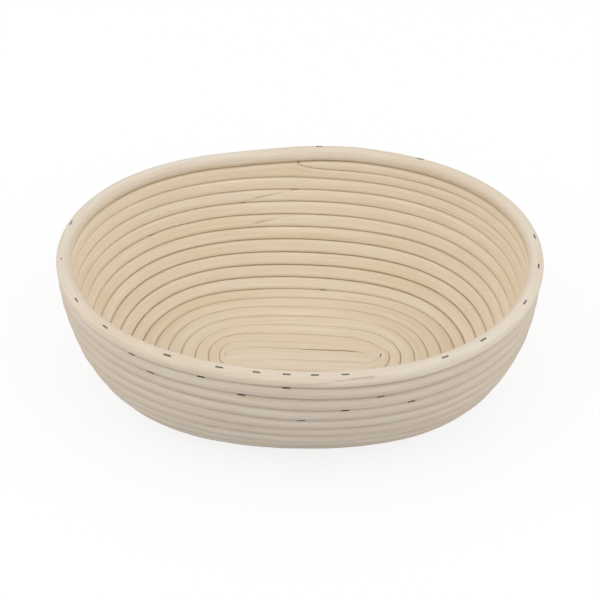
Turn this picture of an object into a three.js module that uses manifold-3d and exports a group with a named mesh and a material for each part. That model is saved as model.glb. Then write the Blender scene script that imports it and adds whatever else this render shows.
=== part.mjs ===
// Oval proofing basket, wound from round rattan cane and pinned with wire staples.
// Millimetres, +Z up. X runs along the basket, Y across it, and it stands on Z = 0.
import * as THREE from 'three';
import { mergeVertices } from 'three/addons/utils/BufferGeometryUtils.js';
import Module from 'manifold-3d';

const wasm = await Module();
wasm.setup();
const { clamp, lerp, smoothstep, euclideanModulo, degToRad } = THREE.MathUtils;

// Driving dimensions of the cane
const cane_width = 8.3;            // a course, from edge to edge along the winding
const cane_thickness = 8.3;        // a course, from inside face to outside face
const course_gap = 0.5;            // left between neighbouring courses
const rim_cane_diameter = 9.2;

// Driving dimensions of the winding
const core_half_length = 38.5;     // middle of the first strip to the centre of its hairpin
const oval_half_length = 35.1;     // what each later turn is longer than wide, halved
const floor_run = 62.0;            // along the winding, from the core to where the wall starts
const bend_run = 104.2;            // along the winding, from there to the full wall slope
const wall_slope = degToRad(92.8);
const bend_power = 0.46;           // under 1, the wall turns up sharply first
const floor_setback = 2.3;         // the floor lies this far behind the middle of the rim
const foot_cut_share = 0.1;        // of the cane's thickness, flat where the floor stands

// How the hand-pressed shape differs from side to side. These shares are added along the cosine
// and the sine of the direction from above, then of its double, and so on
const floor_run_swings = [0.0092, -0.0273, 0.0214, 0.0235];
const bend_run_swings = [0.1115, 0.0918, 0.0575, -0.2320];
const wall_slope_swings = [0.0358, 0.0013, 0.0164, -0.0523];
// and these are of the oval's half length, at the rim
const outline_swings = [-0.1029, 0.0164, -0.0532, 0.1258, -0.0158, 0.0583, -0.0288];

// Counts and shares of a turn. Turn 0 is at the right-hand end, and turns go anticlockwise
const steps_per_turn = 24;
const rim_steps = 48;
const start_turn = -7 / steps_per_turn;
const tongue_turn = -11 / steps_per_turn;
const settled_turn = 3;            // from here on the turns are smooth ovals
const tail_turn = 17.25;           // the winding ends in the middle of the back
const first_joint_turn = 12.265;
const second_joint_turn = 14.28;
const rim_joint_share = 0.776;

// How oval a turn is: near 0 it is straight-sided, and past 1 it is nearly an ellipse
const core_roundness = 0.05;
const floor_roundness = 0.62;
const rim_roundness_gain = 0.94;
const rim_roundness_power = 4.6;

// At every step past the tail's tip, in courses: how far the rim rides up, and how far the line
// under the tail strays
const rim_rises = [
  0.27, 0.06, 0.09, 0.13, 0.17, 0.21, 0.25, 0.29, 0.33, 0.37, 0.41, 0.45,
  0.5, 0.54, 0.58, 0.6, 0.59, 0.57, 0.54, 0.51, 0.48, 0.45, 0.45, 0.48,
];
const tail_line_strays = [
  0, 0, 0, 0, 0, 0, 0, 0, 0, 0, 0, 0,
  0, 0, 0, 0, 0, 0, 0, 0, -0.05, -0.12, -0.2, -0.21, 0.27,
];

// Whittled ends
const scarf_length = 38;
const tip_thickness = 0.9;

// Wire staples
const staple_crown = 5.4;
const staple_leg = 12.5;
const wire_width = 0.8;
const staple_clearance = 0.3;
const groove_outset = 2.2;         // from the middle of the cane towards a face
const core_staple_leg = 5.5;
const rim_staple_lean = degToRad(14);

// Turns at which a staple's crown lies, on top of the course that it pins down
const outer_staple_turns = [
  16.639, 16.691, 16.744, 16.768, 16.829, 15.654, 15.717, 15.802, 14.779, 14.823,
  13.753, 11.697, 11.843,
];
const inner_staple_turns = [14.26, 13.297, 12.377, 7.311, 6.236];
const covered_staple_turns = [
  1.25, 2.75, 4.25, 5.75, 8.5, 9.25, 10.1, 12.9, 14.08, 15.33, 16.1,
];
const rim_staple_shares = [
  0.04, 0.172, 0.243, 0.462, 0.515, 0.572, 0.614, 0.668, 0.703, 0.726, 0.744, 0.761,
  0.779, 0.847, 0.882, 0.945, 0.998,
];

// Finishes
const cane_finish = { color: 0xdcc9aa, roughness: 0.72, metalness: 0 };
const rim_finish = { color: 0xd9ccba, roughness: 0.74, metalness: 0 };
const wire_finish = { color: 0x6f675f, roughness: 0.45, metalness: 0.8 };

// Sizes that follow
const pitch = cane_width + course_gap;
const half_gap = course_gap / 2;
const half_thickness = cane_thickness / 2;
const rim_radius = rim_cane_diameter / 2;
const foot_height = half_thickness - cane_thickness * foot_cut_share;
const top_run = pitch * tail_turn;
const longest_run = top_run + pitch + 2 * rim_cane_diameter;
const setback_run = floor_run + bend_run / 2;

// Sections as shares of the half width and half thickness: across the cane, then inwards
const course_section_shares = [[1, 0.5], [0, 1], [-1, 0.5], [-1, -0.5], [0, -1], [1, -0.5]];
const rim_sides = 8;
const rim_section_shares = Array.from({ length: rim_sides }, (_, side) => {
  const angle = ((side + 0.5) * 2 * Math.PI) / rim_sides;
  const corner = 1 / Math.cos(Math.PI / rim_sides);
  return [corner * Math.cos(angle), corner * Math.sin(angle)];
});

// 1 and the shares of each wave round the basket
function swing(direction, shares) {
  return shares.reduce((total, share, place) => {
    const wave = (Math.floor(place / 2) + 1) * direction;
    return total + share * (place % 2 === 0 ? Math.cos(wave) : Math.sin(wave));
  }, 1);
}

// The wall's profile in one direction: how far out and how high the winding is, after a run
const profile_steps = 600;
const run_step = longest_run / profile_steps;
function wall_profile(direction) {
  const floor_here = floor_run * swing(direction, floor_run_swings);
  const bend_here = bend_run * swing(direction, bend_run_swings);
  const slope_here = wall_slope * swing(direction, wall_slope_swings);
  const profile = { reaches: [0], heights: [0] };
  for (let step = 0; step < profile_steps; step += 1) {
    const bent_share = clamp(((step + 0.5) * run_step - floor_here) / bend_here, 0, 1);
    const slope = slope_here * bent_share ** bend_power;
    profile.reaches.push(profile.reaches[step] + run_step * Math.cos(slope));
    profile.heights.push(profile.heights[step] + run_step * Math.sin(slope));
  }
  return profile;
}

const profiles = Array.from({ length: rim_steps }, (_, step) => {
  return wall_profile((step * 2 * Math.PI) / rim_steps);
});

function read_profile(table, run) {
  const place = clamp(run / run_step, 0, profile_steps - 1);
  const step = Math.floor(place);
  return lerp(table[step], table[step + 1], place - step);
}

// A point of the oval spiral, by its run along the profile and its turn. The first turns are
// a two-centre spiral round a straight hairpin, and later ones grow steadily and rounder.
function spiral_point(run, turn) {
  const angle = turn * 2 * Math.PI;
  const cosine = Math.cos(angle);
  const settled = smoothstep(run / pitch - 0.5, 0, settled_turn);
  const { reaches, heights } = profiles[Math.round(euclideanModulo(turn, 1) * rim_steps) % rim_steps];
  const top_share = clamp(run / top_run, 0, 1);
  const push = oval_half_length * (swing(angle, outline_swings) - 1) * top_share ** 2;
  const reach = read_profile(reaches, run) + push + Math.min(run, 0);
  const end_turn = cosine > 0 ? Math.round(turn) : Math.floor(turn) + 0.5;
  const arc_lead = (end_turn - turn) * pitch * (1 - settled);
  const centre_step = (cosine > 0 ? 0.25 : -0.25) * pitch * (1 - settled);
  const setback = floor_setback * (1 - clamp(run / setback_run, 0, 1));
  const half_length = lerp(core_half_length, oval_half_length, settled);
  const roundness = lerp(core_roundness, floor_roundness, settled)
    + rim_roundness_gain * top_share ** rim_roundness_power;
  const end_share = (cosine * Math.hypot(1, roundness)) / Math.hypot(cosine, roundness);
  return new THREE.Vector3(
    half_length * end_share + (reach + arc_lead) * cosine,
    setback + centre_step + (reach + arc_lead) * Math.sin(angle),
    foot_height + read_profile(heights, run),
  );
}

// The same point on the straight steps that a cane is built of
function winding_point(run, turn, steps = steps_per_turn) {
  const step = Math.floor(turn * steps);
  const from = spiral_point(run, step / steps);
  return from.lerp(spiral_point(run, (step + 1) / steps), turn * steps - step);
}

// A point with its directions: along the cane, across it up the wall, and towards the inside
function frame_at(run, turn, steps, reach_share = 0.5) {
  const ahead = reach_share / steps;
  const bent_run = Math.max(run, pitch / 2);
  const along = winding_point(bent_run + pitch * ahead, turn + ahead, steps)
    .sub(winding_point(bent_run - pitch * ahead, turn - ahead, steps)).normalize();
  const across = winding_point(run + pitch / 2, turn, steps)
    .sub(winding_point(run - pitch / 2, turn, steps));
  across.addScaledVector(along, -across.dot(along)).normalize();
  const inward = new THREE.Vector3().crossVectors(across, along);
  return { point: winding_point(run, turn, steps), along, across, inward };
}

// One ring of a cane between the frames at the two lines that its cell reaches
function ring_between(low, high, half_depth, section_shares) {
  return section_shares.map(([width_share, depth_share]) => {
    const high_share = (width_share + 1) / 2;
    const inward = low.inward.clone().lerp(high.inward, high_share);
    return low.point.clone().lerp(high.point, high_share)
      .addScaledVector(inward, half_depth * depth_share);
  });
}

// A ring between two runs. Neighbours share the directions where they meet, so that their
// faces there are parallel.
function ring_at(turn, low_run, high_run, half_depth, section_shares, steps) {
  const low = frame_at(low_run, turn, steps);
  const high = frame_at(high_run, turn, steps);
  low.point.addScaledVector(low.across, half_gap);
  high.point.addScaledVector(high.across, -half_gap);
  return ring_between(low, high, half_depth, section_shares);
}

// The first strip starts in a rounded tongue, whose edges follow the hairpin that wraps it
function tongue_ring(turn) {
  const [low, high] = [-turn, turn + 1].map((wrap_turn) => {
    const edge = frame_at(pitch * wrap_turn, wrap_turn, steps_per_turn);
    edge.point.addScaledVector(edge.across, -half_gap);
    return edge;
  });
  return ring_between(low, high, half_thickness, course_section_shares);
}

// A closed tube through rings of points, with flat ends
function tube_geometry(rings) {
  const sides = rings[0].length;
  const positions = rings.flat().flatMap((point) => point.toArray());
  const index = [];
  for (let ring = 0; ring + 1 < rings.length; ring += 1) {
    for (let side = 0; side < sides; side += 1) {
      const next_side = (side + 1) % sides;
      const here = ring * sides;
      const there = here + sides;
      index.push(here + side, there + side, here + next_side);
      index.push(here + next_side, there + side, there + next_side);
    }
  }
  const last = (rings.length - 1) * sides;
  for (let side = 1; side + 1 < sides; side += 1) {
    index.push(0, side, side + 1);
    index.push(last, last + side + 1, last + side);
  }
  const geometry = new THREE.BufferGeometry();
  geometry.setAttribute('position', new THREE.Float32BufferAttribute(positions, 3));
  geometry.setIndex(index);
  return geometry;
}

// Both ends and every whole step between them
function turns_between(from_turn, to_turn, steps) {
  const turns = [from_turn];
  for (let step = Math.floor(from_turn * steps) + 1; step < to_turn * steps; step += 1) {
    turns.push(step / steps);
  }
  return [...turns, to_turn];
}

// A value at a share of the last turn, straight between the steps of its table
function read_steps(table, share) {
  const place = share * steps_per_turn;
  const step = Math.floor(place);
  return lerp(table[step], table[(step + 1) % table.length], place - step);
}

// The run where the rim's underside lies
function rim_base_run(turn) {
  return pitch * (tail_turn + read_steps(rim_rises, euclideanModulo(turn - tail_turn, 1)));
}

// The run where a turn's lower edge lies, on top of the turn before
function course_base_run(turn) {
  const share = clamp(turn - (tail_turn - 1), 0, 1);
  return pitch * (turn + read_steps(tail_line_strays, share));
}

// How long one turn is, at a run along the profile
function turn_length(run) {
  let length = 0;
  for (let step = 0; step < steps_per_turn; step += 1) {
    const from = winding_point(run, step / steps_per_turn);
    length += from.distanceTo(winding_point(run, (step + 1) / steps_per_turn));
  }
  return length;
}

// A scarf runs between whole steps, so that the turns above and below still match it
function scarf_at(middle_turn, run, steps) {
  const half_turns = scarf_length / turn_length(run) / 2;
  const from_step = Math.round((middle_turn - half_turns) * steps);
  const to_step = Math.max(Math.round((middle_turn + half_turns) * steps), from_step + 1);
  return { from: from_step / steps, to: to_step / steps };
}

const first_scarf = scarf_at(first_joint_turn, pitch * first_joint_turn, steps_per_turn);
const second_scarf = scarf_at(second_joint_turn, pitch * second_joint_turn, steps_per_turn);
const rim_scarf = scarf_at(rim_joint_share, top_run, rim_steps);
const thinnest_cell = tip_thickness + course_gap;

// How deep a scarf has cut into a cell
function scarf_cut(depth, turn, scarf) {
  const cut_share = (turn - scarf.from) / (scarf.to - scarf.from);
  return clamp(depth * cut_share, thinnest_cell, depth - thinnest_cell);
}

// The cell of a course: it meets its neighbours, a scarf cuts it slantwise, and the rim
// presses on the last turn
function course_cell(turn, start_scarf, end_scarf) {
  let low_run = course_base_run(turn);
  let high_run = turn > tail_turn - 1 ? rim_base_run(turn) : course_base_run(turn + 1);
  if (start_scarf && turn <= start_scarf.to) low_run = high_run - scarf_cut(pitch, turn, start_scarf);
  if (end_scarf && turn >= end_scarf.from) high_run -= scarf_cut(pitch, turn, end_scarf);
  return [low_run, high_run];
}

// The tail stops where it would be cut finer than a tip
function tail_end_turn() {
  let turn = tail_turn;
  const back_step = 1 / profile_steps;
  do {
    turn -= back_step;
  } while (rim_base_run(turn) - course_base_run(turn) < thinnest_cell);
  return turn;
}

// A length of the winding, from one joint or end to the next
function course_cane(start_scarf, end_scarf) {
  const from_turn = start_scarf ? start_scarf.from : tongue_turn;
  const to_turn = end_scarf ? end_scarf.to : tail_end_turn();
  const turns = turns_between(from_turn, to_turn, steps_per_turn);
  const rings = turns.map((turn) => {
    if (turn < start_turn) return tongue_ring(turn);
    const [low_run, high_run] = course_cell(turn, start_scarf, end_scarf);
    return ring_at(turn, low_run, high_run, half_thickness, course_section_shares, steps_per_turn);
  });
  return { turns, rings };
}

// The rim cane's cell, whittled above its start and below its end where the two overlap
function rim_cell(turn) {
  const low_run = rim_base_run(turn);
  const depth = rim_cane_diameter + course_gap;
  if (turn <= rim_scarf.to) return [low_run, low_run + scarf_cut(depth, turn, rim_scarf)];
  if (turn < rim_scarf.from + 1) return [low_run, low_run + depth];
  return [low_run + scarf_cut(depth, turn - 1, rim_scarf), low_run + depth];
}

function rim_cane() {
  const turns = turns_between(rim_scarf.from, rim_scarf.to + 1, rim_steps);
  const rings = turns.map((turn) => {
    const [low_run, high_run] = rim_cell(turn);
    return ring_at(turn, low_run, high_run, rim_radius, rim_section_shares, rim_steps);
  });
  return { turns, rings };
}

// A staple lies along +X with its crown's top at Y = 0 and its legs down along -Y.
// clearance grows it into the tool that cuts its seat.
function staple_geometry(leg, clearance) {
  const half_crown = staple_crown / 2 + clearance;
  const half_inside = staple_crown / 2 - wire_width - clearance;
  const crown_underside = -wire_width - clearance;
  const foot = -leg - clearance;
  const outline = new THREE.Shape([
    new THREE.Vector2(-half_crown, clearance),
    new THREE.Vector2(-half_crown, foot),
    new THREE.Vector2(-half_inside, foot),
    new THREE.Vector2(-half_inside, crown_underside),
    new THREE.Vector2(half_inside, crown_underside),
    new THREE.Vector2(half_inside, foot),
    new THREE.Vector2(half_crown, foot),
    new THREE.Vector2(half_crown, clearance),
  ]);
  const depth = wire_width + 2 * clearance;
  const geometry = new THREE.ExtrudeGeometry(outline, { depth, bevelEnabled: false });
  return geometry.translate(0, 0, -depth / 2);
}

function staple_matrix(crown_top, along, up) {
  const aside = new THREE.Vector3().crossVectors(along, up);
  return new THREE.Matrix4().makeBasis(along, up, aside).setPosition(crown_top);
}

// A staple whose crown is flush with the upper edge of its course, its legs following the
// winding down into the course below
function course_staple_matrix(turn, outset) {
  const high_run = course_cell(turn)[1];
  const { point, along, across, inward } = frame_at(high_run, turn, steps_per_turn, 0.1);
  const up = point.clone().sub(winding_point(high_run - staple_leg, turn));
  up.addScaledVector(along, -up.dot(along)).normalize();
  point.addScaledVector(across, -half_gap).addScaledVector(inward, -outset);
  return staple_matrix(point, along, up);
}

// A rim staple goes in from slightly outside, through the middle of the rim cane
function rim_staple_matrix(turn) {
  const middle_run = rim_base_run(turn) + rim_radius + half_gap;
  const { point, along, across } = frame_at(middle_run, turn, rim_steps, 0.1);
  const up = across.applyAxisAngle(along, rim_staple_lean);
  return staple_matrix(point.addScaledVector(up, rim_radius), along, up);
}

// The first strip's hairpin is pinned from inside, with short legs that stay in the floor
function core_staple_matrix() {
  const { point, along, inward } = frame_at(pitch / 2, 0, steps_per_turn, 0.1);
  return staple_matrix(point.addScaledVector(inward, half_thickness), along, inward);
}

// The least distance between the upper face of each turn and the lower face of the next one,
// from points on the one to the flat pieces of the other
function least_gap(rings, turns) {
  const sides = rings[0].length;
  const upper = [sides - 1, 0];
  const lower = [sides / 2 - 1, sides / 2];
  const strips = rings.slice(1).map((ring, place) => {
    const [near, far] = lower.map((corner) => rings[place][corner]);
    const [next_near, next_far] = lower.map((corner) => ring[corner]);
    return [
      new THREE.Triangle(near, far, next_near),
      new THREE.Triangle(far, next_far, next_near),
    ];
  });
  let least = Infinity;
  for (let place = 0; place + 1 < rings.length; place += 1) {
    for (const corner of upper) {
      for (const part of [0, 0.25, 0.5, 0.75]) {
        const point = rings[place][corner].clone().lerp(rings[place + 1][corner], part);
        strips.forEach((pair, above) => {
          if (Math.abs(turns[above] - turns[place] - 1) > 0.1) return;
          for (const piece of pair) {
            const nearest = piece.closestPointToPoint(point, new THREE.Vector3());
            least = Math.min(least, point.distanceTo(nearest));
          }
        });
      }
    }
  }
  return least;
}

// Solids are cut here, and come back as plain geometry
function to_solid(geometry) {
  const bare = new THREE.BufferGeometry();
  bare.setAttribute('position', geometry.getAttribute('position').clone());
  if (geometry.index) bare.setIndex(geometry.index.clone());
  const merged = mergeVertices(bare);
  return new wasm.Manifold(new wasm.Mesh({
    numProp: 3,
    vertProperties: new Float32Array(merged.getAttribute('position').array),
    triVerts: new Uint32Array(merged.index.array),
  }));
}

function to_geometry(solid) {
  const { vertProperties, triVerts } = solid.getMesh();
  const geometry = new THREE.BufferGeometry();
  geometry.setAttribute('position', new THREE.BufferAttribute(vertProperties, 3));
  geometry.setIndex(new THREE.BufferAttribute(triVerts, 1));
  return geometry;
}

const basket = new THREE.Group();
const seats = [];

function add_mesh(name, geometry, finish) {
  geometry.computeVertexNormals();
  const mesh = new THREE.Mesh(geometry, new THREE.MeshStandardMaterial(finish));
  mesh.name = name;
  basket.add(mesh);
}

function add_staple(name, matrix, leg = staple_leg) {
  add_mesh(name, staple_geometry(leg, 0).applyMatrix4(matrix), wire_finish);
  seats.push(to_solid(staple_geometry(leg, staple_clearance).applyMatrix4(matrix)));
}

function numbered(name, place) {
  return `${name}_${String(place + 1).padStart(2, '0')}`;
}

add_staple('core_staple', core_staple_matrix(), core_staple_leg);
outer_staple_turns.forEach((turn, place) => {
  add_staple(numbered('outer_staple', place), course_staple_matrix(turn, groove_outset));
});
inner_staple_turns.forEach((turn, place) => {
  add_staple(numbered('inner_staple', place), course_staple_matrix(turn, -groove_outset));
});
covered_staple_turns.forEach((turn, place) => {
  add_staple(numbered('covered_staple', place), course_staple_matrix(turn, 0));
});
rim_staple_shares.forEach((share, place) => {
  add_staple(numbered('rim_staple', place), rim_staple_matrix(share));
});

// The underside is flat where the basket stands
const below_foot = new THREE.BoxGeometry(4 * longest_run, 4 * longest_run, cane_thickness);
below_foot.translate(0, 0, -cane_thickness / 2);
seats.push(to_solid(below_foot));

function add_cane(name, { turns, rings }, finish) {
  console.log(`${name}: least gap to itself ${least_gap(rings, turns).toFixed(2)} mm`);
  const solid = seats.reduce((cane, seat) => cane.subtract(seat), to_solid(tube_geometry(rings)));
  add_mesh(name, to_geometry(solid), finish);
}

add_cane('floor_cane', course_cane(null, first_scarf), cane_finish);
add_cane('wall_cane', course_cane(first_scarf, second_scarf), cane_finish);
add_cane('top_cane', course_cane(second_scarf, null), cane_finish);
add_cane('rim_cane', rim_cane(), rim_finish);

// The origin is under the middle of the basket, on the surface that it stands on
const bounds = new THREE.Box3().setFromObject(basket);
const middle = bounds.getCenter(new THREE.Vector3());
basket.position.set(-middle.x, -middle.y, -bounds.min.z);

export default basket;
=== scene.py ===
import math

import bpy
import numpy as np
from bpy.props import FloatProperty, FloatVectorProperty, IntProperty, PointerProperty
from mathutils import Matrix, Vector


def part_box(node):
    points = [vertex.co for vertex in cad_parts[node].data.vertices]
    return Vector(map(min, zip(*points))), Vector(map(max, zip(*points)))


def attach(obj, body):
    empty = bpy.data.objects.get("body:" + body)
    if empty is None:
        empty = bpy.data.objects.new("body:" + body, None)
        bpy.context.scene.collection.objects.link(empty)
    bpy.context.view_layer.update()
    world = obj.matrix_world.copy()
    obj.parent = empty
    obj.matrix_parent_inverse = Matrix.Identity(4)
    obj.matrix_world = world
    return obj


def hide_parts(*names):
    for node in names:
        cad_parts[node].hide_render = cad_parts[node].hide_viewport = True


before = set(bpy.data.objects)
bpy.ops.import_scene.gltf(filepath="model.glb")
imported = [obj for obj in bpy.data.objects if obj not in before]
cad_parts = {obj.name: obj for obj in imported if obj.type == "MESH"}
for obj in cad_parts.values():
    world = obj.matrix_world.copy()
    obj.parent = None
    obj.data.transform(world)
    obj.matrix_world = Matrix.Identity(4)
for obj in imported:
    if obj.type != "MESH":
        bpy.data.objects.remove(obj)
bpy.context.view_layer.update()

bl_info = {
    "name": "Cane Basket",
    "version": (1, 0, 0),
    "blender": (4, 5, 0),
    "location": "View3D > Sidebar > Basket",
    "description": "Winds an oval proofing basket from peeled cane and pins it with wire staples",
    "category": "Add Mesh",
}

RIM_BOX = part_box("rim_cane")
MM = 0.001

# Winding, in millimetres and turns: turn 0 is at the right-hand end, anticlockwise from above
START_TURN = -0.28
TONGUE_TURN = -0.492
SETTLED_TURN = 3.0
TAIL_TURN = 17.2585
# Shares of the turn after the tail's tip, and how high the rim rides there, in courses
RIM_RISE_PLACES = (0, 0.01, 0.02, 0.03, 0.04, 0.05, 0.08, 0.3, 0.55, 0.62, 0.7, 0.8, 0.88, 0.93,
                   0.96, 0.98, 0.99, 1)
LINE_PLACES = (0.8, 0.87, 0.9, 0.96, 0.98, 0.99, 0.995, 1)
LINE_RISES = (0, -0.1, -0.19, -0.22, -0.22, -0.12, 0.02, 0.27)
RIM_RISES = (0.27, 0.2, 0.14, 0.09, 0.06, 0.06, 0.09, 0.3, 0.55, 0.6, 0.58, 0.5, 0.45, 0.45,
             0.48, 0.42, 0.35, 0.27)
FIRST_JOINT_TURN = 12.278
SECOND_JOINT_TURN = 14.28
RIM_JOINT_TURN = 0.757
FIRST_SCARF_TURNS = 0.044
SECOND_SCARF_TURNS = 0.038
RIM_SCARF_TURNS = 0.08
# The rim's end closes over this share of a turn, towards this place in its section
RIM_POINT_TURNS = 0.0215
RIM_POINT = (0.84, -0.6)
# What share of the section closes, and how much sooner than that the end is lifted
RIM_POINT_CLOSES = 0.93
RIM_LIFT_RATE = 1.2
# Under the point the rim's start comes to its whole section over this share of a turn
RIM_BLUNT_TURNS = 0.006
RIM_FLATNESS = (2.2, 2.2)
RIM_OUTSIDE_FLATNESS = 2.1
# The tail's mesh stops this far short of its tip, where it has no thickness
TAIL_STOP_TURNS = 0.0015
# How far the core's lines lie towards the back, as shares of the slit's shift, at these places
# in pitches from the slit
CORE_LINES = (-5, -2.3, -1, 0, 1)
CORE_SHIFTS = (0, 0.6, 0.6, 1, 0)
# How flat the inside halves are beside these lines of the winding: flattest round the tongue's
# end and round the first fold, where the strips lie closest
MEETING_LINES = (0.6, 0.75, 0.9, 1.1, 1.25, 1.6)
MEETING_FLATNESS = (40, 11, 40, 40, 10, 5.5)
# How far the slit between the first strips opens along it, in shares of its widest
SLIT_PLACES = (-36, -30, -10, 8, 30, 38)
SLIT_SHARES = (0, 0.2, 0.35, 1, 1, 0)
# Between these turns the canes pass from the floor's section to the wall's, and how full their
# inside is in each
BEND_TURNS = (5, 8)
FULLNESS_SHARES = (0.7, 1)
# Where the first strips change, in millimetres from the middle: each ramp's start and its length
CORE_FADE = (26, 24)
FOLD_THINS = (2, 40)
FOLD_THICKENS = (45, 12)
FOLD_GROWS = (36, 11)
FOLD_SHRINKS = (47, 9)
TONGUE_GROWS = (32, 10.9)
TONGUE_SHRINKS = (42.9, 9)
# Across, the fold's end is stretched this near to the slit, and the tongue's to its middle
FOLD_HALF_WIDTH = 6
TONGUE_HALF_WIDTH = 12
TONGUE_MIDDLE = 0.5
# The slit is open up to this turn. It opens with the section's depth by this slope and start
SLIT_END_TURN = -0.2
SLIT_OPENING = (1.5, 0.2)
# How the canes stray: the length of a turn and of the waves, in millimetres, and the ramps in
# turns over which the strays set in
TURN_LENGTH = 610
LINE_WAVE = 260
LINE_SEED = 77
INWARD_WAVE = 210
FULLNESS_WAVE = 160
FULLNESS_STRAY = 0.012
STRAY_WAVES = (1.0, 0.47, 0.23, 0.11)
STRAY_SUM = 2.2
LINE_STRAYS = (0.6, 0.8)
INWARD_STRAYS = (0.2, 1.5)
# How round the winding is: its sides are straight at 0, and more is nearer to an ellipse
CORE_ROUNDNESS = 0.05
FLOOR_ROUNDNESS = 0.6198
RIM_ROUNDNESS_GAIN = 0.9381
RIM_ROUNDNESS_POWER = 4.637
WALL_SLOPE = math.radians(92.79)
BEND_POWER = 0.4583
# How the hand-pressed shape differs from side to side, as shares that are added along the
# cosine and sine of the direction from above, then of its double, and so on
FLOOR_RUN_SWINGS = (0.0092, -0.0273, 0.0214, 0.0235)
BEND_RUN_SWINGS = (0.1115, 0.0918, 0.0575, -0.2320)
WALL_SLOPE_SWINGS = (0.0358, 0.0013, 0.0164, -0.0523)
OUTLINE_SWINGS = (-0.1029, 0.0164, -0.0532, 0.1258, -0.0158, 0.0583, -0.0288)
FOOT_CUT_SHARE = 0.1
# No point of a cane lies lower than this
LEAST_HEIGHT = 0.02

# How finely the profile, the outline and the cane's path are worked out
PROFILE_RUNS = 1201
PROFILE_DIRECTIONS = 121
OUTLINE_POINTS = 480
PATH_STEPS_PER_TURN = 6000
PATH_STEPS_LEAST = 200
RINGS_LEAST = 12
# Turns over which the rings pass from their spacing in the tight bends to their own
TIGHT_BENDS = (-0.5, 3)
# Each cane's fibres start this far on from the last seed's, and the painted shade in the grooves
# has an edge this sharp
FIBRE_STEP = 1000
FLOOR_SEED, WALL_SEED, TOP_SEED, RIM_SEED = 3, 5, 8, 13
GROOVE_POWER = 8

# Turns at which a staple's crown lies, on top of the course that it pins down
OUTER_STAPLE_TURNS = (
    16.639, 16.691, 16.744, 16.768, 16.829, 15.654, 15.717, 15.8015, 14.779, 14.8225,
    13.753, 11.697, 11.843,
)
# How far each stands out of its groove, or is sunk in it
OUTER_STAPLE_STANDS = (
    -0.35, -0.35, -0.3, -0.8, -0.75, -0.35, -0.4, -0.35, -0.35, -0.6, -0.2, -0.2, -0.3,
)
INNER_STAPLE_TURNS = (14.2595, 13.297, 12.377, 7.3105, 6.236)
COVERED_STAPLE_TURNS = (1.25, 2.75, 4.25, 5.75, 8.5, 9.25, 10.1, 12.9, 14.08, 15.33, 16.1)
RIM_STAPLE_TURNS = (
    0.0395, 0.172, 0.2432, 0.4618, 0.5145, 0.5718, 0.6135, 0.668, 0.703, 0.726, 0.744, 0.7608,
    0.7792, 0.8468, 0.8822, 0.9448, 0.9985,
)
# The same stand for every covered and every rim staple
COVERED_STAPLE_STAND = -0.3
RIM_STAPLE_STAND = 0.12
# How far towards the outside a crown lies from its course's upper line
OUTER_STAPLE_OUTSET = 2.2
INNER_STAPLE_OUTSET = -2.6
RIM_STAPLE_LEAN = math.radians(14)
# The wire's corner radius, as a share of its width, and the points round it
WIRE_CORNER = 0.7
WIRE_CORNER_POINTS = 5

# The stage, in metres and watts. The floor throws back less light than the camera sees of it,
# and for the camera it glows by this share
FLOOR_REACH = 4.0
FLOOR_BOUNCE = 0.62
FLOOR_SEEN = 0.98
FLOOR_GLOW = 0.82
LAMP_SIDE = 1.3
LAMP_TARGET = (0, 0, 0.05)
LEFT_LAMP = ((-1.2, -0.42, 0.98), 6.3)
RIGHT_LAMP = ((1.2, -0.42, 0.98), 6.1)
WORLD_STRENGTH = 0.84


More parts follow.
